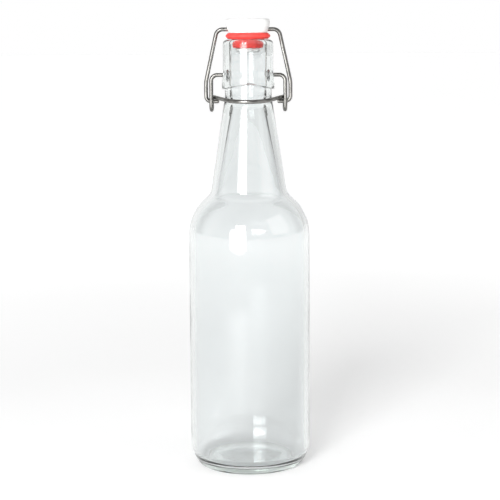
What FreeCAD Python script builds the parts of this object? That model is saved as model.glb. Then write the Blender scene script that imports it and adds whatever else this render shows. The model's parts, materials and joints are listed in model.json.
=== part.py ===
"""Swing-top glass bottle: the glass, a plastic stopper with a rubber gasket, and the two steel wires
that hold it shut.  Millimetres, +Z up, origin at the middle of the base on the resting plane, +X to
the right, front towards -Y.  Every hinge runs along X, and the wires are mirrored left and right.
"""

import FreeCAD, Part
import math
import os
from FreeCAD import Vector

# Glass, outside
BODY_RADIUS = 35.0
BODY_HEIGHT = 135.0             # from the base to the top of the straight wall
SHOULDER_RADIUS = 28.0          # convex arc from the wall
SHOULDER_FILLET = 8.0           # concave arc from the shoulder into the neck
SHOULDER_RISE = 32.0            # from the top of the wall to the foot of the neck's cone
NECK_FOOT_RADIUS = 20.9         # cone's radius there
NECK_LENGTH = 52.0              # from the foot of the cone to the ledge under the finish
NECK_STRAIGHT = 4.7             # straight stretch at the top of the neck
NECK_TOP_RADIUS = 13.4
NECK_BLEND = 18.0
FINISH_HEIGHT = 28.0            # from the ledge to the mouth
FINISH_RADIUS = 14.4
RING_STEP = 0.7                 # the bead round the bottom of the finish stands out by this
RING_HEIGHT = 6.0
RING_EDGE = 0.8
RING_TAPER = 4.0
LEDGE_RISE = 2.5                # the ledge under the finish arches up by this, front and back
LEDGE_ARCH_RADIUS = 39.0
LIP_EDGE = 2.4                  # rounded outer edge of the mouth
HEEL_HEIGHT = 13.2              # bottom of the straight body wall
HEEL_RADIUS = 19.7
BASE_EDGE = 2.0
BEARING_WIDTH = 3.0             # flat ring that the bottle stands on
PUNT_HEIGHT = 3.5               # push-up in the middle of the base

# Glass, inside
BODY_WALL = 2.9
SHOULDER_WALL = 3.0
FLOOR_THICKNESS = 4.0
FLOOR_CORNER = 5.0
NECK_WALL = 3.4                 # at the foot of the cone
INNER_FILLET = 11.0
BORE_RADIUS = 9.9
BORE_EDGE = 1.2
BORE_LENGTH = 27.5              # from the mouth to where the bore narrows
THROAT_DEPTH = 38.0             # narrowest place, below the mouth
THROAT_RADIUS = 8.8
THROAT_BLEND = 10.0

# Wires and their hinges
WIRE_RADIUS = 1.15
PIVOT_DEPTH = 20.0              # the lever's ends sit in holes this far below the mouth
PIVOT_HOLE_DEPTH = 2.8
PIVOT_SEAT_LENGTH = 1.2
PIVOT_MOUTH_RADIUS = 3.1
PIVOT_CLEARANCE = 0.08
TIP_GAP = 0.3                   # lever's tips from the bottom of their holes
LEVER_SPREAD = 6.8              # lever's legs from the side of the finish
LEVER_BEND = 3.5
EYE_DROP = 15.1                 # the stopper wire's hinge, below the pivot
EYE_BACK = 1.6                  # and behind it, so that the lever locks past dead centre
EYE_GAP = 0.25                  # play of the stopper wire in the lever's eye
EYE_STRAIGHT = 2.3              # straight part of the eye, below the hinge
EYE_SHIFT = 0.3                 # the eye's back leg stands this much further in
LOOP_HEADING = 25.0             # degrees, the loop's sides seen from above
LOOP_SLOPE = 4.0                # degrees, fall of the loop's sides
LOOP_GAP = 7.95                 # between the loop's front and the top of the neck
BAIL_LEG_GAP = 0.7              # between the stopper wire's legs and the lever's
BAIL_LEAN = 12.4                # degrees, lean of the upper legs
BAIL_STRAIGHT = 11.1            # from the hook up to the elbow
BAIL_ELBOW = 14.0
BAIL_TOP_BEND = 4.0
BAIL_HOOK_BEND = 3.0
BAIL_HOOK_LENGTH = 7.5          # from the leg in to the hook's end

# Stopper and gasket
SEAT_GAP = 0.3                  # gasket above the mouth
GASKET_OVERLAP = 0.9            # the gasket's rim is this much smaller than the finish
GASKET_THICKNESS = 3.5
GASKET_BEVEL = 1.7
GASKET_EDGE_RADIUS = 0.9
PLUG_CLEARANCE = 0.6            # gasket's plug in the bore
PLUG_DRAFT = 0.7
PLUG_LENGTH = 5.0
STOPPER_RADIUS = 12.5
STOPPER_HEIGHT = 8.0
STOPPER_FOOT_RADIUS = 11.0
STOPPER_RIM = 3.6               # straight rim at the top
STOPPER_EDGE = 1.2
STEM_RADIUS = 5.6
BEAD_RADIUS = 7.0               # the stem's end, which keeps the gasket on
BEAD_LENGTH = 2.6
BEAD_EDGE = 1.6
HOLE_ABOVE_FOOT = 2.0           # axis of the cross hole
HOLE_CLEARANCE = 0.08

# Worked out from the values above
NECK_FOOT = BODY_HEIGHT + SHOULDER_RISE
FINISH_BOTTOM = NECK_FOOT + NECK_LENGTH
FINISH_TOP = FINISH_BOTTOM + FINISH_HEIGHT
RING_RADIUS = FINISH_RADIUS + RING_STEP
PIVOT_HEIGHT = FINISH_TOP - PIVOT_DEPTH
PIVOT_HOLE_END = FINISH_RADIUS - PIVOT_HOLE_DEPTH
PIVOT_SEAT_RADIUS = WIRE_RADIUS + PIVOT_CLEARANCE
LEVER_LEG_X = FINISH_RADIUS + LEVER_SPREAD
EYE_HEIGHT = PIVOT_HEIGHT - EYE_DROP
EYE_RADIUS = 2 * WIRE_RADIUS + EYE_GAP
LOOP_REACH = NECK_TOP_RADIUS + LOOP_GAP + WIRE_RADIUS
BAIL_LEG_X = LEVER_LEG_X + 2 * WIRE_RADIUS + BAIL_LEG_GAP
GASKET_SEAT = FINISH_TOP + SEAT_GAP
GASKET_TOP = GASKET_SEAT + GASKET_THICKNESS
GASKET_RADIUS = FINISH_RADIUS - GASKET_OVERLAP
PLUG_TOP_RADIUS = BORE_RADIUS - PLUG_CLEARANCE
STOPPER_TOP = GASKET_TOP + STOPPER_HEIGHT
HOLE_HEIGHT = GASKET_TOP + HOLE_ABOVE_FOOT


# Outlines and sweeps

def unit(vector):
    return Vector(vector).normalize()


def rounded_edges(corners, radii, closed=False):
    """Lines through the corners, each corner rounded by an arc of its radius (0 leaves it sharp)."""
    count = len(corners)
    ends = []
    for i, corner in enumerate(corners):
        if radii[i] == 0:
            ends.append((corner, None, corner))
            continue
        back = unit(corners[i - 1] - corner)
        ahead = unit(corners[(i + 1) % count] - corner)
        half = back.getAngle(ahead) / 2
        reach = radii[i] / math.tan(half)
        bisector = unit(back + ahead)
        middle = corner + bisector * (radii[i] / math.sin(half) - radii[i])
        ends.append((corner + back * reach, middle, corner + ahead * reach))
    edges = []
    for i in range(count):
        start, middle, stop = ends[i]
        if middle is not None:
            edges.append(Part.Arc(start, middle, stop).toShape())
        if closed or i < count - 1:
            following = ends[(i + 1) % count][0]
            if following.distanceToPoint(stop) > 1e-6:
                edges.append(Part.makeLine(stop, following))
    return edges


def turned(corners, radii):
    """Solid of revolution about Z from (radius, height) corners, rounded where a radius is given."""
    points = [Vector(radius, 0, height) for radius, height in corners]
    face = Part.Face(Part.Wire(rounded_edges(points, radii, closed=True)))
    return face.revolve(Vector(0, 0, 0), Vector(0, 0, 1), 360)


def bent_wire(corners, radii):
    """Round steel wire along the rounded path through the corners."""
    path = Part.Wire(rounded_edges(corners, radii))
    direction = corners[1] - corners[0]
    section = Part.Wire(Part.makeCircle(WIRE_RADIUS, corners[0], direction))
    return path.makePipeShell([section], True, False)


def mirrored(points):
    return [Vector(-point.x, point.y, point.z) for point in reversed(points)]


def arc_edge(start, middle, stop):
    return Part.Arc(Vector(start[0], 0, start[1]), Vector(middle[0], 0, middle[1]),
                    Vector(stop[0], 0, stop[1])).toShape()


def line_edge(start, stop):
    return Part.makeLine(Vector(start[0], 0, start[1]), Vector(stop[0], 0, stop[1]))


def on_circle(centre, radius, angle):
    return (centre[0] + radius * math.cos(angle), centre[1] + radius * math.sin(angle))


def arc_between(centre, radius, first, last):
    """Arc about a centre from one angle to the other, in radians."""
    return arc_edge(on_circle(centre, radius, first), on_circle(centre, radius, (first + last) / 2),
                    on_circle(centre, radius, last))


# Glass bottle

def shoulder(wall_radius, arc_radius, fillet, cone_point):
    """Edges from the body wall over the shoulder to the neck's cone, and the point they end on."""
    centre = (wall_radius - arc_radius, BODY_HEIGHT)
    slant = math.atan(cone_point[2])
    normal = (math.cos(slant), math.sin(slant))
    offset = cone_point[0] * normal[0] + cone_point[1] * normal[1] + fillet
    level = centre[0] * normal[0] + centre[1] * normal[1]
    across = offset - level
    along = math.sqrt((arc_radius + fillet) ** 2 - across ** 2)
    fillet_centre = (centre[0] + across * normal[0] - along * normal[1],
                     centre[1] + across * normal[1] + along * normal[0])
    meet = math.atan2(fillet_centre[1] - centre[1], fillet_centre[0] - centre[0])
    edges = [arc_between(centre, arc_radius, 0, meet),
             arc_between(fillet_centre, fillet, meet - math.pi, slant - math.pi)]
    return edges, on_circle(fillet_centre, fillet, slant - math.pi)


def outer_edges():
    """Outline of the glass from the middle of the base to the mouth's outer edge."""
    heel = (BODY_RADIUS - HEEL_RADIUS, HEEL_HEIGHT)
    rise = HEEL_HEIGHT - BASE_EDGE
    edge = (heel[0] + math.sqrt((HEEL_RADIUS - BASE_EDGE) ** 2 - rise ** 2), BASE_EDGE)
    meet = math.atan2(edge[1] - heel[1], edge[0] - heel[0])
    bearing_inner = edge[0] - BEARING_WIDTH
    punt = (0, PUNT_HEIGHT - punt_radius(bearing_inner))
    rim = math.atan2(-punt[1], bearing_inner)
    neck_top = FINISH_BOTTOM - NECK_STRAIGHT
    taper = (NECK_FOOT_RADIUS - NECK_TOP_RADIUS) / (neck_top - NECK_FOOT)
    cone = (NECK_FOOT_RADIUS, NECK_FOOT, taper)
    over, cone_start = shoulder(BODY_RADIUS, SHOULDER_RADIUS, SHOULDER_FILLET, cone)
    ring_top = FINISH_BOTTOM + RING_HEIGHT
    corners = [(cone_start, 0), ((NECK_TOP_RADIUS, neck_top), NECK_BLEND),
               ((NECK_TOP_RADIUS, FINISH_BOTTOM), 0), ((RING_RADIUS, FINISH_BOTTOM), RING_EDGE),
               ((RING_RADIUS, ring_top), RING_TAPER * 2),
               ((FINISH_RADIUS, ring_top + RING_TAPER), RING_TAPER * 2),
               ((FINISH_RADIUS, FINISH_TOP), LIP_EDGE),
               ((BORE_RADIUS, FINISH_TOP), BORE_EDGE)]
    return ([arc_between(punt, punt_radius(bearing_inner), math.pi / 2, rim),
             line_edge((bearing_inner, 0), (edge[0], 0)),
             arc_between(edge, BASE_EDGE, -math.pi / 2, meet),
             arc_between(heel, HEEL_RADIUS, meet, 0),
             line_edge((BODY_RADIUS, HEEL_HEIGHT), (BODY_RADIUS, BODY_HEIGHT))] + over, corners,
            bearing_inner)


def punt_radius(bearing_inner):
    return (bearing_inner ** 2 + PUNT_HEIGHT ** 2) / (2 * PUNT_HEIGHT)


def glass_profile():
    """Closed outline of the glass on one side of the axis."""
    outer, upper, bearing_inner = outer_edges()
    inner_radius = BODY_RADIUS - BODY_WALL
    foot_radius = NECK_FOOT_RADIUS - NECK_WALL
    throat = FINISH_TOP - THROAT_DEPTH
    cone = (foot_radius, NECK_FOOT, (foot_radius - THROAT_RADIUS) / (throat - NECK_FOOT))
    under, cone_start = shoulder(inner_radius, SHOULDER_RADIUS - SHOULDER_WALL, INNER_FILLET, cone)
    upper += [((BORE_RADIUS, FINISH_TOP - BORE_LENGTH), THROAT_BLEND),
              ((THROAT_RADIUS, throat), THROAT_BLEND), (cone_start, 0)]
    points = [Vector(radius, 0, height) for (radius, height), blend in upper]
    middle = rounded_edges(points, [blend for corner, blend in upper])
    dome = punt_radius(bearing_inner)
    dome_centre = (0, PUNT_HEIGHT - dome)
    dome += FLOOR_THICKNESS
    corner_r = inner_radius - FLOOR_CORNER
    corner_z = dome_centre[1] + math.sqrt((dome + FLOOR_CORNER) ** 2 - corner_r ** 2)
    meet = math.atan2(corner_z - dome_centre[1], corner_r)
    floor = [line_edge((inner_radius, BODY_HEIGHT), (inner_radius, corner_z)),
             arc_between((corner_r, corner_z), FLOOR_CORNER, 0, meet - math.pi),
             arc_between(dome_centre, dome, meet, math.pi / 2),
             line_edge((0, PUNT_HEIGHT + FLOOR_THICKNESS), (0, PUNT_HEIGHT))]
    edges = outer + middle + under + floor
    return Part.Wire(Part.__sortEdges__(edges))


def pivot_hole(side):
    """Flared hole in the finish with a short round seat for one end of the lever."""
    end = Vector(side * PIVOT_HOLE_END, 0, PIVOT_HEIGHT)
    outward = Vector(side, 0, 0)
    seat = Part.makeCylinder(PIVOT_SEAT_RADIUS, PIVOT_SEAT_LENGTH, end, outward)
    flare_length = PIVOT_HOLE_DEPTH - PIVOT_SEAT_LENGTH
    growth = (PIVOT_MOUTH_RADIUS - PIVOT_SEAT_RADIUS) / flare_length
    cut_length = flare_length + RING_RADIUS - FINISH_RADIUS
    flare = Part.makeCone(PIVOT_SEAT_RADIUS, PIVOT_SEAT_RADIUS + growth * cut_length, cut_length,
                          end + outward * PIVOT_SEAT_LENGTH, outward)
    return seat.fuse(flare)


def under_ledge():
    """Space under the arched ledge, between the neck and the outside of the ring."""
    reach = 2 * RING_RADIUS
    bottom = Vector(0, 0, FINISH_BOTTOM - NECK_STRAIGHT / 3)
    height = NECK_STRAIGHT / 3 + RING_HEIGHT
    open_ring = Part.makeCylinder(reach, height, bottom).cut(
        Part.makeCylinder(NECK_TOP_RADIUS, height, bottom))
    start = Vector(0, -reach, FINISH_BOTTOM + LEDGE_RISE - LEDGE_ARCH_RADIUS)
    arch = Part.makeCylinder(LEDGE_ARCH_RADIUS, 2 * reach, start, Vector(0, 1, 0))
    return open_ring.common(arch)


def glass_bottle():
    body = Part.Face(glass_profile()).revolve(Vector(0, 0, 0), Vector(0, 0, 1), 360)
    body = body.cut(under_ledge())
    for side in (-1, 1):
        body = body.cut(pivot_hole(side))
    return body


# Wires

def lever_bail():
    """Lever: pivot end, leg, eye round the stopper wire's hook, and the loop that is pushed up."""
    heading = math.radians(LOOP_HEADING)
    slope = math.radians(LOOP_SLOPE)
    eye_bottom = EYE_HEIGHT - EYE_STRAIGHT - EYE_RADIUS
    leg_lean = (EYE_BACK - EYE_RADIUS) / EYE_DROP
    back_x = LEVER_LEG_X - EYE_SHIFT
    top_rise = EYE_RADIUS * math.cos(slope) + EYE_RADIUS * (1 + math.sin(slope)) * math.tan(slope)
    back_top = Vector(back_x, EYE_BACK + EYE_RADIUS, EYE_HEIGHT + top_rise)
    run = Vector(-math.sin(heading) * math.cos(slope), -math.cos(heading) * math.cos(slope),
                 -math.sin(slope))
    apex = back_top + run * (back_x / -run.x)
    front_lean = unit(Vector(0, run.y, run.z))
    half = run.getAngle(front_lean)
    nose_gap = (-LOOP_REACH - apex.y) / -front_lean.y
    nose_radius = nose_gap / (1 / math.sin(half) - 1)
    right = [Vector(PIVOT_HOLE_END + TIP_GAP, 0, PIVOT_HEIGHT),
             Vector(LEVER_LEG_X, 0, PIVOT_HEIGHT),
             Vector(LEVER_LEG_X, leg_lean * (PIVOT_HEIGHT - eye_bottom), eye_bottom),
             Vector(back_x, EYE_BACK + EYE_RADIUS, eye_bottom),
             back_top]
    radii = [0, LEVER_BEND, EYE_RADIUS * 0.98, EYE_RADIUS * 0.98, EYE_RADIUS]
    return bent_wire(right + [apex] + mirrored(right), radii + [nose_radius] + radii[::-1])


def stopper_bail():
    """Stopper wire: through the stopper's cross hole, down both sides and hooked into the eyes."""
    top = Vector(0, 0, HOLE_HEIGHT)
    down = Vector(0, EYE_BACK, EYE_HEIGHT) - top
    length = down.Length
    down.normalize()
    elbow = length - BAIL_STRAIGHT
    top_x = BAIL_LEG_X - elbow * math.tan(math.radians(BAIL_LEAN))
    flat = [(BAIL_LEG_X - BAIL_HOOK_LENGTH, length), (BAIL_LEG_X, length),
            (BAIL_LEG_X, elbow), (top_x, 0)]
    right = [top + down * drop + Vector(x, 0, 0) for x, drop in flat]
    radii = [0, BAIL_HOOK_BEND, BAIL_ELBOW, BAIL_TOP_BEND]
    return bent_wire(right + mirrored(right), radii + radii[::-1])


# Stopper and gasket

def stopper():
    bead_top = GASKET_SEAT - PLUG_LENGTH
    bead_bottom = bead_top - BEAD_LENGTH
    rim_bottom = STOPPER_TOP - STOPPER_RIM
    corners = [(0, STOPPER_TOP), (STOPPER_RADIUS, STOPPER_TOP), (STOPPER_RADIUS, rim_bottom),
               (STOPPER_FOOT_RADIUS, GASKET_TOP), (STEM_RADIUS, GASKET_TOP),
               (STEM_RADIUS, bead_top), (BEAD_RADIUS, bead_top), (BEAD_RADIUS, bead_bottom),
               (0, bead_bottom)]
    radii = [0, STOPPER_EDGE, STOPPER_RIM, 0, 0, 0, BEAD_EDGE / 4, BEAD_EDGE, 0]
    body = turned(corners, radii)
    hole_radius = WIRE_RADIUS + HOLE_CLEARANCE
    start = Vector(-STOPPER_RADIUS, 0, HOLE_HEIGHT)
    return body.cut(Part.makeCylinder(hole_radius, 2 * STOPPER_RADIUS, start, Vector(1, 0, 0)))


def gasket():
    middle = GASKET_SEAT + GASKET_THICKNESS / 2
    plug_bottom = GASKET_SEAT - PLUG_LENGTH
    face_radius = GASKET_RADIUS - GASKET_BEVEL
    corners = [(STEM_RADIUS, GASKET_TOP), (face_radius, GASKET_TOP), (GASKET_RADIUS, middle),
               (face_radius, GASKET_SEAT), (PLUG_TOP_RADIUS, GASKET_SEAT),
               (PLUG_TOP_RADIUS - PLUG_DRAFT, plug_bottom), (STEM_RADIUS, plug_bottom)]
    radii = [0, GASKET_EDGE_RADIUS, GASKET_EDGE_RADIUS, GASKET_EDGE_RADIUS, 0, GASKET_EDGE_RADIUS, 0]
    return turned(corners, radii)


NODES = {"glass_bottle": glass_bottle, "stopper": stopper, "gasket": gasket,
         "stopper_bail": stopper_bail, "lever_bail": lever_bail}

os.makedirs("parts", exist_ok=True)
for name, make in NODES.items():
    make().exportStep(f"parts/{name}.step")
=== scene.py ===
"""Looks of the swing-top bottle: clear glass, a white stopper with a red gasket, and two bent steel wires.
Each piece stands for one CAD node and rides on its body.  Outlines are in millimetres, +Z up, front
towards -Y, and MM turns them into metres."""

import json
import math

import bmesh
import bpy
from mathutils import Matrix, Vector, noise


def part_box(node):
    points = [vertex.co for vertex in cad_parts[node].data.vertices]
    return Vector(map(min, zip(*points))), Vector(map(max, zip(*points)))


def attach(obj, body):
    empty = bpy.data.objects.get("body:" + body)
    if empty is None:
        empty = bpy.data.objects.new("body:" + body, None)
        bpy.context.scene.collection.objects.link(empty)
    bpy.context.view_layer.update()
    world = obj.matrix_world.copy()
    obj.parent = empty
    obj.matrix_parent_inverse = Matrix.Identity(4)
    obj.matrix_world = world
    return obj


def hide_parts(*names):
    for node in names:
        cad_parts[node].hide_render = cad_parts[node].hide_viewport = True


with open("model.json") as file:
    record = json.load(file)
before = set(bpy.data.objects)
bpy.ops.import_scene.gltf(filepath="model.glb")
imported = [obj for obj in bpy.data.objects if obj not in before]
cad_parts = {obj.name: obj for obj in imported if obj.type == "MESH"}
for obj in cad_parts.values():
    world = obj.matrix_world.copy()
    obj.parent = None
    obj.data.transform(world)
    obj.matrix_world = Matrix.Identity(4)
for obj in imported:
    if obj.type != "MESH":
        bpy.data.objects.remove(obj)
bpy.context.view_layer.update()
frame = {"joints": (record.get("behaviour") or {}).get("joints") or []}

MM = 0.001
TAU = 2 * math.pi


def measured(node):
    """Lowest and highest corner of a CAD node in millimetres."""
    low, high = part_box(node)
    return [round(v / MM, 2) for v in low], [round(v / MM, 2) for v in high]


glass_low, glass_high = measured("glass_bottle")
stopper_low, stopper_high = measured("stopper")
gasket_low, gasket_high = measured("gasket")
lever_low, lever_high = measured("lever_bail")
bail_low, bail_high = measured("stopper_bail")
hinges = {joint["name"]: [v / MM for v in joint["pos_m"]] for joint in frame["joints"]}

# Sizes from the frame
BODY_RADIUS = glass_high[0]
FINISH_TOP = glass_high[2]
PIVOT_HEIGHT = hinges["lever_swing"][2]
EYE_BACK = hinges["bail_hinge"][1]
EYE_HEIGHT = hinges["bail_hinge"][2]
HOLE_HEIGHT = hinges["stopper_hinge"][2]
WIRE_RADIUS = bail_high[2] - HOLE_HEIGHT
GASKET_RADIUS = gasket_high[0]
GASKET_TOP = gasket_high[2]
PLUG_BOTTOM = gasket_low[2]
STOPPER_RADIUS = stopper_high[0]
STOPPER_TOP = stopper_high[2]
BEAD_BOTTOM = stopper_low[2]
LOOP_REACH = -WIRE_RADIUS - lever_low[1]
BAIL_LEG_X = bail_high[0] - WIRE_RADIUS

# Glass, outside, by the same dimensions as its CAD node
BODY_HEIGHT = 135.0
SHOULDER_RADIUS = 28.0
SHOULDER_FILLET = 8.0
NECK_FOOT = 167.0
NECK_FOOT_RADIUS = 20.9
NECK_TOP = 214.3
NECK_TOP_RADIUS = 13.4
NECK_BLEND = 18.0
FINISH_BOTTOM = 219.0
FINISH_RADIUS = 14.4
LEDGE_ROUND = 0.35
LEDGE_RISE = 2.5
LEDGE_ARCH_RADIUS = 39.0
RING_RADIUS = 15.1
RING_TOP = 225.0
RING_EDGE = 0.8
RING_TAPER = 4.0
LIP_EDGE = 2.4
HEEL_HEIGHT = 13.2
HEEL_RADIUS = 19.7
BASE_EDGE = 2.0
BEARING_WIDTH = 3.0
PUNT_HEIGHT = 3.5

# Glass, inside
BODY_WALL = 2.9
SHOULDER_WALL = 3.0
FLOOR_THICKNESS = 4.0
FLOOR_CORNER = 5.0
NECK_WALL = 3.4
INNER_FILLET = 11.0
BORE_RADIUS = 9.9
BORE_EDGE = 1.2
BORE_BOTTOM = 219.5
THROAT_HEIGHT = 209.0
THROAT_RADIUS = 8.8
THROAT_BLEND = 10.0
WAVE_HEIGHT = 0.12              # blown glass is never quite even inside
WAVE_LENGTH = 24.0

# Pivot holes in the finish
HOLE_BOTTOM_X = 11.6
HOLE_SEAT_X = 12.8
HOLE_SEAT_RADIUS = 1.3
HOLE_SEAT_ROUND = 0.2
HOLE_MOUTH_RADIUS = 3.1

# Wires
TIP_X = 11.9
LEVER_LEG_X = 21.2
LEVER_BEND = 3.5
EYE_GAP = 0.25
EYE_STRAIGHT = 2.3
EYE_SHIFT = 0.3
LOOP_HEADING = math.radians(25.0)
LOOP_SLOPE = math.radians(4.0)
BAIL_LEAN = math.radians(12.4)
BAIL_STRAIGHT = 11.1
BAIL_ELBOW = 14.0
BAIL_TOP_BEND = 4.0
BAIL_HOOK_BEND = 3.0
BAIL_HOOK_LENGTH = 7.5

# Stopper and gasket
GASKET_BEVEL = 1.7
GASKET_EDGE = 0.9
GASKET_SEAT = 247.3
PLUG_TOP_RADIUS = 9.3
PLUG_DRAFT = 0.7
STOPPER_FOOT_RADIUS = 11.0
STOPPER_RIM = 3.6
STOPPER_EDGE = 1.2
STEM_RADIUS = 5.6
BEAD_RADIUS = 7.0
BEAD_EDGE = 1.6
CROSS_HOLE_RADIUS = WIRE_RADIUS + 0.08

# Fineness of the meshes
ARC_STEP = math.radians(4.0)
AROUND_STEP = math.radians(1.5)
AROUND_HOLE_STEP = math.radians(0.5)
AROUND_HOLE = math.radians(14.0)
WIRE_SEGMENTS = 32
WIRE_STEP = 1.2
STOPPER_SEGMENTS = 160
HOLE_GRID = 0.15
SHARP_ANGLE = math.radians(40.0)
END_ROUND = 0.5
CONTACT_GAP = 0.03
FOOT_EDGE = 0.3
GATE_RADIUS = 2.4
GATE_DEPTH = 0.4

# Camera and light, in metres
EYE_PLACE = Vector((0.00045, -0.830, 0.249))
EYE_TILT = math.radians(7.85)
EYE_ROLL = math.radians(0.375)
LENS = 103.93
SHIFT_Y = -0.03
BEHIND = 1.0                    # brightness of the room: behind, in strips next to that, and so on
DARK_STRIPS = 0.12
BESIDE = 0.7
IN_FRONT = 0.25
FRONT_END = 0.35                # where each stretch of the room starts, from 0 in front to 1 behind
BESIDE_START = 0.40
BESIDE_END = 0.60
STRIPS_START = 0.64
STRIPS_END = 0.75
BEHIND_START = 0.80
RIGHT_SHARE = 0.75              # brightness of the room on the right, as a share of that on the left
DIMMING_START = -0.3
DIMMING_END = 0.8
FLOOR_RADIUS = 20.0
UNDER_GLOW_PAINTED_SHADE = 0.25               # the floor's painted light, a glow though it is no lamp: under the bottle (dimmer, as painted shade), near it and far off
NEAR_GLOW = 0.31
FAR_GLOW = 0.59
UNDER_END = 0.024               # distances from the axis where these lights end or start
NEAR_START = 0.032
NEAR_END = 0.25
FAR_START = 0.95


# ---- Outlines ---------------------------------------------------------------------------------------

def arc(centre, radius, first, last):
    """Points on an arc about a centre in the (radius, height) plane."""
    steps = max(2, math.ceil(abs(last - first) / ARC_STEP))
    angles = [first + (last - first) * i / steps for i in range(steps + 1)]
    return [Vector((centre[0] + radius * math.cos(a), centre[1] + radius * math.sin(a))) for a in angles]


def rounded(corners, radii, closed=False):
    """Points along straight runs between the corners, in 2 or 3 axes, each corner rounded by its radius."""
    points = []
    for i, (corner, radius) in enumerate(zip(corners, radii)):
        if radius == 0:
            points.append(corner.copy())
            continue
        back = (corners[i - 1] - corner).normalized()
        ahead = (corners[(i + 1) % len(corners)] - corner).normalized()
        half = back.angle(ahead) / 2
        centre = corner + (back + ahead).normalized() * (radius / math.sin(half))
        side = (corner - centre).normalized()
        across = (back - side * back.dot(side)).normalized()
        turn = math.pi - 2 * half
        steps = max(3, math.ceil(turn / ARC_STEP))
        for k in range(steps + 1):
            angle = turn / 2 - turn * k / steps
            points.append(centre + side * (radius * math.cos(angle)) + across * (radius * math.sin(angle)))
    if closed:
        points.append(points[0].copy())
    return points


def spaced(points, step):
    """The same line with its long runs divided and repeated points left out."""
    out = [points[0]]
    for point in points[1:]:
        length = (point - out[-1]).length
        if length < 1e-5:
            continue
        parts = max(1, math.ceil(length / step))
        start = out[-1]
        out += [start.lerp(point, k / parts) for k in range(1, parts + 1)]
    return out


def over_shoulder(wall_radius, arc_radius, fillet, foot_radius, taper):
    """Points from the top of the body wall over the shoulder to the neck's cone."""
    centre = Vector((wall_radius - arc_radius, BODY_HEIGHT))
    slant = math.atan(taper)
    normal = Vector((math.cos(slant), math.sin(slant)))
    upward = Vector((-normal.y, normal.x))
    across = Vector((foot_radius, NECK_FOOT)).dot(normal) + fillet - centre.dot(normal)
    along = math.sqrt((arc_radius + fillet) ** 2 - across ** 2)
    fillet_centre = centre + normal * across + upward * along
    reach = fillet_centre - centre
    meet = math.atan2(reach.y, reach.x)
    return (arc(centre, arc_radius, 0, meet)
            + arc(fillet_centre, fillet, meet - math.pi, slant - math.pi)[1:])


def bowl(radius, height, centre_z, steps=14):
    """Points of a shallow dome about the axis, from its middle out to the radius."""
    return [Vector((radius * k / steps, math.sqrt(height ** 2 - (radius * k / steps) ** 2) + centre_z))
            for k in range(steps + 1)]


def base_edge():
    """Centre of the rounded edge that the bottle stands on."""
    heel = Vector((BODY_RADIUS - HEEL_RADIUS, HEEL_HEIGHT))
    drop = HEEL_HEIGHT - BASE_EDGE
    return heel, Vector((heel.x + math.sqrt((HEEL_RADIUS - BASE_EDGE) ** 2 - drop ** 2), BASE_EDGE))


def punt_dome():
    """Radius of the push-up's dome."""
    bearing = base_edge()[1].x - BEARING_WIDTH
    return (bearing ** 2 + PUNT_HEIGHT ** 2) / (2 * PUNT_HEIGHT)


def outer_outline():
    """Outside of the glass, from the middle of the base to the top of the mouth."""
    heel, edge = base_edge()
    meet = math.atan2(edge.y - heel.y, edge.x - heel.x)
    punt = bowl(edge.x - BEARING_WIDTH, punt_dome(), PUNT_HEIGHT - punt_dome())
    taper = (NECK_FOOT_RADIUS - NECK_TOP_RADIUS) / (NECK_TOP - NECK_FOOT)
    shoulder = over_shoulder(BODY_RADIUS, SHOULDER_RADIUS, SHOULDER_FILLET, NECK_FOOT_RADIUS, taper)
    corners = [shoulder[-1], Vector((NECK_TOP_RADIUS, NECK_TOP)), Vector((NECK_TOP_RADIUS, FINISH_BOTTOM)),
               Vector((RING_RADIUS, FINISH_BOTTOM)), Vector((RING_RADIUS, RING_TOP)),
               Vector((FINISH_RADIUS, RING_TOP + RING_TAPER)), Vector((FINISH_RADIUS, FINISH_TOP)),
               Vector((BORE_RADIUS + BORE_EDGE, FINISH_TOP))]
    radii = [0, NECK_BLEND, LEDGE_ROUND, RING_EDGE, RING_TAPER * 2, RING_TAPER * 2, LIP_EDGE, 0]
    lower = (punt + arc(edge, BASE_EDGE, -math.pi / 2, meet) + arc(heel, HEEL_RADIUS, meet, 0)
             + [Vector((BODY_RADIUS, BODY_HEIGHT))])
    return spaced(lower, 2.0) + spaced(shoulder, 1.5)[1:] + spaced(rounded(corners, radii), 1.2)[1:]


def inner_outline():
    """Inside of the glass, from the top of the mouth down to the middle of the floor."""
    wall = BODY_RADIUS - BODY_WALL
    foot = NECK_FOOT_RADIUS - NECK_WALL
    shoulder = over_shoulder(wall, SHOULDER_RADIUS - SHOULDER_WALL, INNER_FILLET, foot,
                             (foot - THROAT_RADIUS) / (THROAT_HEIGHT - NECK_FOOT))
    shoulder.reverse()
    corners = [Vector((BORE_RADIUS + BORE_EDGE, FINISH_TOP)), Vector((BORE_RADIUS, FINISH_TOP)),
               Vector((BORE_RADIUS, BORE_BOTTOM)), Vector((THROAT_RADIUS, THROAT_HEIGHT)), shoulder[0]]
    radii = [0, BORE_EDGE * 0.98, THROAT_BLEND, THROAT_BLEND, 0]
    centre = PUNT_HEIGHT - punt_dome()
    dome = punt_dome() + FLOOR_THICKNESS
    corner_r = wall - FLOOR_CORNER
    corner_z = centre + math.sqrt((dome + FLOOR_CORNER) ** 2 - corner_r ** 2)
    meet = math.atan2(corner_z - centre, corner_r)
    flat = bowl(dome * math.cos(meet), dome, centre)
    flat.reverse()
    floor = arc((corner_r, corner_z), FLOOR_CORNER, 0, meet - math.pi) + flat[1:]
    return spaced(rounded(corners, radii), 1.2)[1:] + spaced(shoulder + floor, 2.0)[1:]


# ---- Meshes -----------------------------------------------------------------------------------------

def even(count):
    return [TAU * i / count for i in range(count)]


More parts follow.
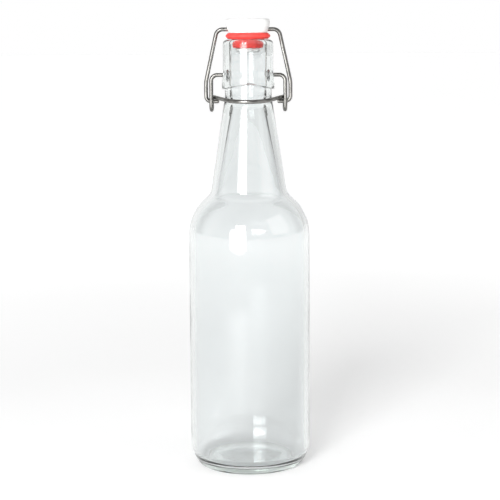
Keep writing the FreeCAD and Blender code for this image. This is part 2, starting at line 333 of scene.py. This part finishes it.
def turn_outline(outline, angles, shape=None):
    """Surface of revolution from (radius, height) points, closed on the axis or on its first point."""
    bm = bmesh.new()
    rings = []
    looped = (outline[0] - outline[-1]).length < 1e-6
    for index, point in enumerate(outline[:-1] if looped else outline):
        if point.x < 1e-4:
            rings.append([bm.verts.new((0, 0, point.y))])
            continue
        ring = []
        for angle in angles:
            place = Vector((point.x * math.cos(angle), point.x * math.sin(angle), point.y))
            ring.append(bm.verts.new(shape(place, index) if shape else place))
        rings.append(ring)
    count = len(angles)
    for lower, upper in zip(rings, rings[1:] + (rings[:1] if looped else [])):
        for i in range(count):
            j = (i + 1) % count
            corners = [lower[i % len(lower)], lower[j % len(lower)],
                       upper[j % len(upper)], upper[i % len(upper)]]
            bm.faces.new(list(dict.fromkeys(corners)))
    return bm


def capped(path, radius):
    """Stations along a wire, (place, radius, distance along), with a rounded end at both ends."""
    edge = radius * END_ROUND
    ahead = (path[1] - path[0]).normalized()
    astern = (path[-2] - path[-1]).normalized()
    steps = [math.pi / 2 * k / 4 for k in range(5)]
    head = [(path[0] + ahead * (edge * (1 - math.sin(a))), radius - edge * (1 - math.cos(a))) for a in steps]
    head.reverse()
    foot = [(path[-1] + astern * (edge * (1 - math.sin(a))), radius - edge * (1 - math.cos(a)))
            for a in steps]
    stations = head + [(place, radius) for place in path[1:-1]] + foot
    out = []
    travelled = 0.0
    for i, (place, wide) in enumerate(stations):
        travelled += (place - stations[i - 1][0]).length if i else 0.0
        out.append((place, wide, travelled))
    return out


def tube(path, radius):
    """Round wire along the points, with its UV map along and around it in metres."""
    bm = bmesh.new()
    uv = bm.loops.layers.uv.new("UVMap")
    stations = capped(path, radius)
    places = [place for place, wide, along in stations]
    normal = (places[1] - places[0]).orthogonal().normalized()
    rings = []
    for i, (place, wide, along) in enumerate(stations):
        tangent = (places[min(i + 1, len(places) - 1)] - places[max(i - 1, 0)]).normalized()
        normal = (normal - tangent * normal.dot(tangent)).normalized()
        side = tangent.cross(normal)
        rings.append([bm.verts.new(place + (normal * math.cos(a) + side * math.sin(a)) * wide)
                      for a in even(WIRE_SEGMENTS)])
    width = TAU * radius * MM / WIRE_SEGMENTS
    for k in range(len(rings) - 1):
        low, high = stations[k][2] * MM, stations[k + 1][2] * MM
        for i in range(WIRE_SEGMENTS):
            j = (i + 1) % WIRE_SEGMENTS
            face = bm.faces.new((rings[k][i], rings[k][j], rings[k + 1][j], rings[k + 1][i]))
            corners = ((low, i), (low, i + 1), (high, i + 1), (high, i))
            for loop, (along, step) in zip(face.loops, corners):
                loop[uv].uv = (along, step * width)
    bm.faces.new(rings[0])
    bm.faces.new(rings[-1])
    return bm


def new_object(name, bm):
    """Smooth object from a bmesh in millimetres, with its sharp edges kept."""
    bmesh.ops.scale(bm, vec=(MM, MM, MM), verts=bm.verts)
    bmesh.ops.recalc_face_normals(bm, faces=bm.faces)
    mesh = bpy.data.meshes.new(name)
    bm.to_mesh(mesh)
    bm.free()
    mesh.shade_smooth()
    mesh.set_sharp_from_angle(angle=SHARP_ANGLE)
    made = bpy.data.objects.new(name, mesh)
    bpy.context.scene.collection.objects.link(made)
    return made


def new_piece(made, material, body, node):
    """Gives a piece its material and has it ride on its body in place of its CAD node."""
    made.data.materials.append(material)
    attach(made, body)
    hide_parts(node)
    return made


def bored(made, tool):
    """Cuts the tool out of a piece and removes the tool."""
    cut = made.modifiers.new("bore", "BOOLEAN")
    cut.object = tool
    cut.operation = "DIFFERENCE"
    cut.solver = "EXACT"
    shown = made.evaluated_get(bpy.context.evaluated_depsgraph_get())
    mesh = bpy.data.meshes.new_from_object(shown)
    made.modifiers.clear()
    old = made.data
    made.data = mesh
    bpy.data.meshes.remove(old)
    mesh.shade_smooth()
    mesh.set_sharp_from_angle(angle=SHARP_ANGLE)
    bpy.data.objects.remove(tool)
    return made


# ---- Pieces -----------------------------------------------------------------------------------------

def around_holes():
    """Angles round the axis, finer at the pivot holes on both sides."""
    angles = [0.0]
    while angles[-1] < TAU - 1e-6:
        side = angles[-1] % math.pi
        near = side < AROUND_HOLE - 1e-6 or side > math.pi - AROUND_HOLE - 1e-6
        angles.append(angles[-1] + (AROUND_HOLE_STEP if near else AROUND_STEP))
    return angles[:-1]


def sunk(place):
    """Sinks the flared pivot holes into both sides of the finish."""
    away = math.hypot(place.y, place.z - PIVOT_HEIGHT)
    flare = (FINISH_RADIUS - HOLE_SEAT_X) / (HOLE_MOUTH_RADIUS - HOLE_SEAT_RADIUS)
    reach = HOLE_SEAT_X + (away - HOLE_SEAT_RADIUS) * flare
    if away < HOLE_SEAT_RADIUS:
        share = min(1.0, (HOLE_SEAT_RADIUS - away) / HOLE_SEAT_ROUND)
        reach = HOLE_SEAT_X + (HOLE_BOTTOM_X - HOLE_SEAT_X) * share
    return Vector((math.copysign(min(abs(place.x), reach), place.x), place.y, place.z))


def arched(place):
    """Lifts the ledge under the finish into its arches, front and back."""
    lift = max(0.0, LEDGE_RISE - place.x ** 2 / (2 * LEDGE_ARCH_RADIUS))
    if place.z < FINISH_BOTTOM:
        share = (place.z - NECK_TOP) / (FINISH_BOTTOM - NECK_TOP)
    else:
        share = (RING_TOP - place.z) / (RING_TOP - FINISH_BOTTOM)
    return place + Vector((0, 0, lift * max(0.0, share)))


def wavy(place):
    """Moves a point of the inner wall in or out by the blown surface's gentle waves."""
    radius = max(0.1, math.hypot(place.x, place.y))
    swing = WAVE_HEIGHT * noise.noise(place / WAVE_LENGTH) * min(1.0, radius / THROAT_RADIUS) / radius
    return Vector((place.x * (1 + swing), place.y * (1 + swing), place.z))


def glass_bottle(material):
    """Clear glass, outside and inside in one closed skin."""
    outside = outer_outline()
    fine = outside[:1]
    for a, b in zip(outside, outside[1:]):
        close = abs((a.y + b.y) / 2 - PIVOT_HEIGHT) < HOLE_MOUTH_RADIUS + 1 and a.x > BORE_RADIUS
        parts = max(1, math.ceil((b - a).length / HOLE_GRID)) if close else 1
        fine += [a.lerp(b, k / parts) for k in range(1, parts + 1)]

    def shape(place, index):
        if index >= len(fine):
            return wavy(place)
        if abs(place.z - PIVOT_HEIGHT) < HOLE_MOUTH_RADIUS + 1:
            place = sunk(place)
        return arched(place)

    bm = turn_outline(fine + inner_outline(), around_holes(), shape)
    return new_piece(new_object("clear_bottle", bm), material, "bottle", "glass_bottle")


def both_sides(right, apex=None):
    """The points of the right half, and the same points mirrored on the left."""
    left = [Vector((-p.x, p.y, p.z)) for p in reversed(right)]
    return right + ([apex] if apex else []) + left


def lever_wire(material):
    """Lever: pivot end, leg, eye round the stopper wire's hook, and the loop that is pushed up."""
    eye_radius = 2 * WIRE_RADIUS + EYE_GAP
    eye_bottom = EYE_HEIGHT - EYE_STRAIGHT - eye_radius
    lean = (EYE_BACK - eye_radius) / (PIVOT_HEIGHT - EYE_HEIGHT)
    back_x = LEVER_LEG_X - EYE_SHIFT
    rise = eye_radius * (math.cos(LOOP_SLOPE) + (1 + math.sin(LOOP_SLOPE)) * math.tan(LOOP_SLOPE))
    back_top = Vector((back_x, EYE_BACK + eye_radius, EYE_HEIGHT + rise))
    run = Vector((-math.sin(LOOP_HEADING), -math.cos(LOOP_HEADING), -math.tan(LOOP_SLOPE))).normalized()
    apex = back_top + run * (back_x / -run.x)
    front = Vector((0, run.y, run.z)).normalized()
    nose = (-LOOP_REACH - apex.y) / -front.y / (1 / math.sin(run.angle(front)) - 1)
    right = [Vector((TIP_X, 0, PIVOT_HEIGHT)), Vector((LEVER_LEG_X, 0, PIVOT_HEIGHT)),
             Vector((LEVER_LEG_X, lean * (PIVOT_HEIGHT - eye_bottom), eye_bottom)),
             Vector((back_x, EYE_BACK + eye_radius, eye_bottom)), back_top]
    radii = [0, LEVER_BEND, eye_radius * 0.98, eye_radius * 0.98, eye_radius]
    path = rounded(both_sides(right, apex), radii + [nose] + radii[::-1])
    made = new_object("lever_wire", tube(spaced(path, WIRE_STEP), WIRE_RADIUS))
    return new_piece(made, material, "lever", "lever_bail")


def stopper_wire(material):
    """Stopper wire: through the stopper's cross hole, down both sides and hooked into the eyes."""
    top = Vector((0, 0, HOLE_HEIGHT))
    down = Vector((0, EYE_BACK, EYE_HEIGHT)) - top
    length = down.length
    down.normalize()
    elbow = length - BAIL_STRAIGHT
    top_x = BAIL_LEG_X - elbow * math.tan(BAIL_LEAN)
    flat = [(BAIL_LEG_X - BAIL_HOOK_LENGTH, length), (BAIL_LEG_X, length), (BAIL_LEG_X, elbow), (top_x, 0)]
    right = [top + down * drop + Vector((x, 0, 0)) for x, drop in flat]
    radii = [0, BAIL_HOOK_BEND, BAIL_ELBOW, BAIL_TOP_BEND]
    path = rounded(both_sides(right), radii + radii[::-1])
    made = new_object("stopper_wire", tube(spaced(path, WIRE_STEP), WIRE_RADIUS))
    return new_piece(made, material, "bail", "stopper_bail")


def cross_hole_tool():
    """Round bar along X, as wide as the stopper's cross hole."""
    path = [Vector((-STOPPER_RADIUS - 2, 0, HOLE_HEIGHT)), Vector((STOPPER_RADIUS + 2, 0, HOLE_HEIGHT))]
    return new_object("cross_hole_tool", tube(spaced(path, 40.0), CROSS_HOLE_RADIUS))


def stopper(material):
    """White stopper: stem with its bead, dished foot, straight rim and the mark of its moulding gate."""
    rim_bottom = STOPPER_TOP - STOPPER_RIM
    gate_floor = STOPPER_TOP - GATE_DEPTH
    corners = [(0, BEAD_BOTTOM), (BEAD_RADIUS, BEAD_BOTTOM), (BEAD_RADIUS, PLUG_BOTTOM),
               (STEM_RADIUS, PLUG_BOTTOM), (STEM_RADIUS, GASKET_TOP), (STOPPER_FOOT_RADIUS, GASKET_TOP),
               (STOPPER_RADIUS, rim_bottom), (STOPPER_RADIUS, STOPPER_TOP), (GATE_RADIUS, STOPPER_TOP),
               (GATE_RADIUS, gate_floor), (0, gate_floor)]
    radii = [0, BEAD_EDGE, BEAD_EDGE / 4, 0, 0, FOOT_EDGE, STOPPER_RIM, STOPPER_EDGE, FOOT_EDGE,
             FOOT_EDGE / 2, 0]
    outline = spaced(rounded([Vector(corner) for corner in corners], radii), 0.8)
    made = new_object("stopper_cap", turn_outline(outline, even(STOPPER_SEGMENTS)))
    bored(made, cross_hole_tool())
    return new_piece(made, material, "stopper", "stopper")


def gasket(material):
    """Red gasket: a bevelled rim and a plug that goes into the bore."""
    middle = (GASKET_SEAT + GASKET_TOP) / 2
    face_radius = GASKET_RADIUS - GASKET_BEVEL
    top = GASKET_TOP - CONTACT_GAP
    hole = STEM_RADIUS + CONTACT_GAP
    corners = [(hole, top), (face_radius, top), (GASKET_RADIUS, middle), (face_radius, GASKET_SEAT),
               (PLUG_TOP_RADIUS, GASKET_SEAT), (PLUG_TOP_RADIUS - PLUG_DRAFT, PLUG_BOTTOM),
               (hole, PLUG_BOTTOM)]
    radii = [0, GASKET_EDGE, GASKET_EDGE, GASKET_EDGE, FOOT_EDGE, GASKET_EDGE, FOOT_EDGE]
    outline = spaced(rounded([Vector(corner) for corner in corners], radii, closed=True), 0.6)
    made = new_object("gasket_ring", turn_outline(outline, even(STOPPER_SEGMENTS)))
    return new_piece(made, material, "stopper", "gasket")


# ---- Materials --------------------------------------------------------------------------------------

def new_material(name):
    material = bpy.data.materials.new(name)
    material.use_nodes = True
    return material, material.node_tree.nodes["Principled BSDF"]


def grain(material, scale, detail=2.0, stretch=(1, 1, 1), space="Object"):
    """Noise over the surface: scale is in cells per metre, and stretch multiplies it along each axis."""
    nodes, links = material.node_tree.nodes, material.node_tree.links
    place = nodes.new("ShaderNodeTexCoord")
    mapping = nodes.new("ShaderNodeMapping")
    mapping.inputs["Scale"].default_value = stretch
    pattern = nodes.new("ShaderNodeTexNoise")
    pattern.inputs["Scale"].default_value = scale
    pattern.inputs["Detail"].default_value = detail
    links.new(place.outputs[space], mapping.inputs["Vector"])
    links.new(mapping.outputs["Vector"], pattern.inputs["Vector"])
    return pattern.outputs["Fac"]


def tinted(material, shader, pattern, dark, light):
    """Base colour that wanders between two colours."""
    ramp = material.node_tree.nodes.new("ShaderNodeValToRGB")
    ramp.color_ramp.elements[0].position = 0.3
    ramp.color_ramp.elements[1].position = 0.7
    ramp.color_ramp.elements[0].color = (*dark, 1)
    ramp.color_ramp.elements[1].color = (*light, 1)
    material.node_tree.links.new(pattern, ramp.inputs["Fac"])
    material.node_tree.links.new(ramp.outputs["Color"], shader.inputs["Base Color"])


def ranged(material, shader, pattern, low, high, socket="Roughness"):
    """One of the shader's numbers, wandering from low to high."""
    span = material.node_tree.nodes.new("ShaderNodeMapRange")
    span.inputs["From Min"].default_value = 0.3
    span.inputs["From Max"].default_value = 0.7
    span.inputs["To Min"].default_value = low
    span.inputs["To Max"].default_value = high
    material.node_tree.links.new(pattern, span.inputs["Value"])
    material.node_tree.links.new(span.outputs["Result"], shader.inputs[socket])


def bumped(material, shader, pattern, height, strength=1.0):
    bump = material.node_tree.nodes.new("ShaderNodeBump")
    bump.inputs["Distance"].default_value = height
    bump.inputs["Strength"].default_value = strength
    material.node_tree.links.new(pattern, bump.inputs["Height"])
    material.node_tree.links.new(bump.outputs["Normal"], shader.inputs["Normal"])


def clear_glass():
    """Clear glass: greenish grey where it is thick, faint ripples, and a trace of haze."""
    material, shader = new_material("clear_glass")
    nodes, links = material.node_tree.nodes, material.node_tree.links
    shader.inputs["Transmission Weight"].default_value = 1.0
    shader.inputs["IOR"].default_value = 1.52
    tinted(material, shader, grain(material, 18.0), (0.902, 0.919, 0.923), (0.930, 0.945, 0.948))
    ranged(material, shader, grain(material, 90.0), 0.0, 0.012)
    bumped(material, shader, grain(material, 110.0, 1.0), 0.00003)
    tint = nodes.new("ShaderNodeVolumeAbsorption")
    tint.inputs["Color"].default_value = (0.62, 0.74, 0.66, 1)
    tint.inputs["Density"].default_value = 10.0
    links.new(tint.outputs["Volume"], nodes["Material Output"].inputs["Volume"])
    return material


def white_plastic():
    material, shader = new_material("white_plastic")
    tinted(material, shader, grain(material, 160.0, 4.0), (0.79, 0.79, 0.778), (0.84, 0.84, 0.83))
    ranged(material, shader, grain(material, 420.0, 3.0), 0.28, 0.42)
    bumped(material, shader, grain(material, 1500.0, 3.0), 0.00002)
    return material


def red_rubber():
    material, shader = new_material("red_rubber")
    shader.inputs["Specular IOR Level"].default_value = 0.3
    tinted(material, shader, grain(material, 260.0, 4.0), (0.86, 0.055, 0.048), (0.93, 0.080, 0.070))
    ranged(material, shader, grain(material, 600.0, 3.0), 0.38, 0.56)
    bumped(material, shader, grain(material, 2200.0, 3.0), 0.00003)
    return material


def steel_wire():
    """Grey drawn steel: fine streaks along the wire, and duller patches where fingers have been."""
    material, shader = new_material("steel_wire")
    streaks = grain(material, 1.0, 3.0, (160, 5200, 1), "UV")
    shader.inputs["Metallic"].default_value = 1.0
    tinted(material, shader, grain(material, 240.0, 4.0), (0.16, 0.157, 0.150), (0.28, 0.273, 0.260))
    ranged(material, shader, streaks, 0.20, 0.38)
    bumped(material, shader, streaks, 0.000012)
    return material


# ---- Studio -----------------------------------------------------------------------------------------

def studio_world():
    """Bright behind the bottle, with dark strips beside that for the glass's edges; white to the eye."""
    world = bpy.data.worlds.new("studio")
    bpy.context.scene.world = world
    world.use_nodes = True
    nodes, links = world.node_tree.nodes, world.node_tree.links
    place = nodes.new("ShaderNodeTexCoord")
    split = nodes.new("ShaderNodeSeparateXYZ")
    share = nodes.new("ShaderNodeMapRange")
    share.inputs["From Min"].default_value = -1.0
    ramp = nodes.new("ShaderNodeValToRGB")
    ramp.color_ramp.elements[0].color = (IN_FRONT, IN_FRONT, IN_FRONT, 1)
    ramp.color_ramp.elements[1].color = (BEHIND, BEHIND, BEHIND, 1)
    ramp.color_ramp.elements[1].position = BEHIND_START
    steps = ((FRONT_END, IN_FRONT), (BESIDE_START, BESIDE), (BESIDE_END, BESIDE),
             (STRIPS_START, DARK_STRIPS), (STRIPS_END, DARK_STRIPS))
    for position, light in steps:
        ramp.color_ramp.elements.new(position).color = (light, light, light, 1)
    dimming = nodes.new("ShaderNodeMapRange")
    dimming.inputs["From Min"].default_value = DIMMING_START
    dimming.inputs["From Max"].default_value = DIMMING_END
    dimming.inputs["To Min"].default_value = 1.0
    dimming.inputs["To Max"].default_value = RIGHT_SHARE
    shaded = nodes.new("ShaderNodeVectorMath")
    shaded.operation = "SCALE"
    seen = nodes.new("ShaderNodeLightPath")
    choose = nodes.new("ShaderNodeMix")
    choose.data_type = "RGBA"
    choose.inputs[7].default_value = (1, 1, 1, 1)
    links.new(place.outputs["Generated"], split.inputs["Vector"])
    links.new(split.outputs["Y"], share.inputs["Value"])
    links.new(share.outputs["Result"], ramp.inputs["Fac"])
    links.new(seen.outputs["Is Camera Ray"], choose.inputs["Factor"])
    links.new(split.outputs["X"], dimming.inputs["Value"])
    links.new(ramp.outputs["Color"], shaded.inputs[0])
    links.new(dimming.outputs["Result"], shaded.inputs["Scale"])
    links.new(shaded.outputs["Vector"], choose.inputs[6])
    links.new(choose.outputs[2], nodes["Background"].inputs["Color"])


def soft_light(name, azimuth, distance, height, elevation, width, tall, power):
    """Rectangular softbox at a height, turned towards the bottle's axis and down by its elevation."""
    lamp = bpy.data.lights.new(name, "AREA")
    lamp.shape = "RECTANGLE"
    lamp.size = width
    lamp.size_y = tall
    lamp.energy = power
    made = bpy.data.objects.new(name, lamp)
    a, e = math.radians(azimuth), math.radians(elevation)
    made.location = (math.sin(a) * distance, -math.cos(a) * distance, height)
    facing = Vector((math.sin(a) * math.cos(e), -math.cos(a) * math.cos(e), math.sin(e)))
    made.rotation_euler = facing.to_track_quat("Z", "Y").to_euler()
    bpy.context.scene.collection.objects.link(made)


def pale_floor():
    """Round floor with painted light: it glows more with distance, so that it fades into the white behind
    it, and glows least under the bottle as painted shade.
    """
    bm = bmesh.new()
    bmesh.ops.create_circle(bm, cap_ends=True, segments=96, radius=FLOOR_RADIUS)
    mesh = bpy.data.meshes.new("floor")
    bm.to_mesh(mesh)
    bm.free()
    floor = bpy.data.objects.new("floor", mesh)
    bpy.context.scene.collection.objects.link(floor)
    material, shader = new_material("floor")
    nodes, links = material.node_tree.nodes, material.node_tree.links
    tinted(material, shader, grain(material, 6.0), (0.80, 0.80, 0.80), (0.82, 0.82, 0.82))
    shader.inputs["Roughness"].default_value = 0.6
    shader.inputs["Specular IOR Level"].default_value = 0.1
    shader.inputs["Emission Color"].default_value = (1, 1, 1, 1)
    place = nodes.new("ShaderNodeTexCoord")
    away = nodes.new("ShaderNodeVectorMath")
    away.operation = "LENGTH"
    # painted light: the floor's glow by distance from the axis, lowest under the bottle as painted shade
    glow = nodes.new("ShaderNodeValToRGB")
    glow.color_ramp.elements[0].color = (UNDER_GLOW_PAINTED_SHADE, UNDER_GLOW_PAINTED_SHADE, UNDER_GLOW_PAINTED_SHADE, 1)
    glow.color_ramp.elements[0].position = UNDER_END
    glow.color_ramp.elements[1].color = (FAR_GLOW, FAR_GLOW, FAR_GLOW, 1)
    glow.color_ramp.elements[1].position = FAR_START
    for position in (NEAR_START, NEAR_END):
        glow.color_ramp.elements.new(position).color = (NEAR_GLOW, NEAR_GLOW, NEAR_GLOW, 1)
    links.new(place.outputs["Object"], away.inputs[0])
    links.new(away.outputs["Value"], glow.inputs["Fac"])
    links.new(glow.outputs["Color"], shader.inputs["Emission Strength"])
    mesh.materials.append(material)


def camera():
    data = bpy.data.cameras.new("camera")
    data.lens = LENS
    data.shift_y = SHIFT_Y
    made = bpy.data.objects.new("camera", data)
    made.matrix_world = (Matrix.Translation(EYE_PLACE) @ Matrix.Rotation(math.pi / 2 - EYE_TILT, 4, "X")
                         @ Matrix.Rotation(-EYE_ROLL, 4, "Z"))
    bpy.context.scene.collection.objects.link(made)
    bpy.context.scene.camera = made


# ---- Scene ------------------------------------------------------------------------------------------

steel = steel_wire()
glass_bottle(clear_glass())
lever_wire(steel)
stopper_wire(steel)
stopper(white_plastic())
gasket(red_rubber())

bpy.context.scene.view_settings.view_transform = "Standard"
studio_world()
soft_light("softbox_left", azimuth=-21, distance=0.55, height=0.20, elevation=0,
           width=0.30, tall=0.30, power=1.8)
soft_light("key_left", azimuth=-18, distance=1.9, height=0.95, elevation=25,
           width=0.65, tall=0.55, power=27)
soft_light("panel_right", azimuth=63, distance=1.0, height=0.60, elevation=30,
           width=0.72, tall=0.76, power=2.0)
pale_floor()
camera()
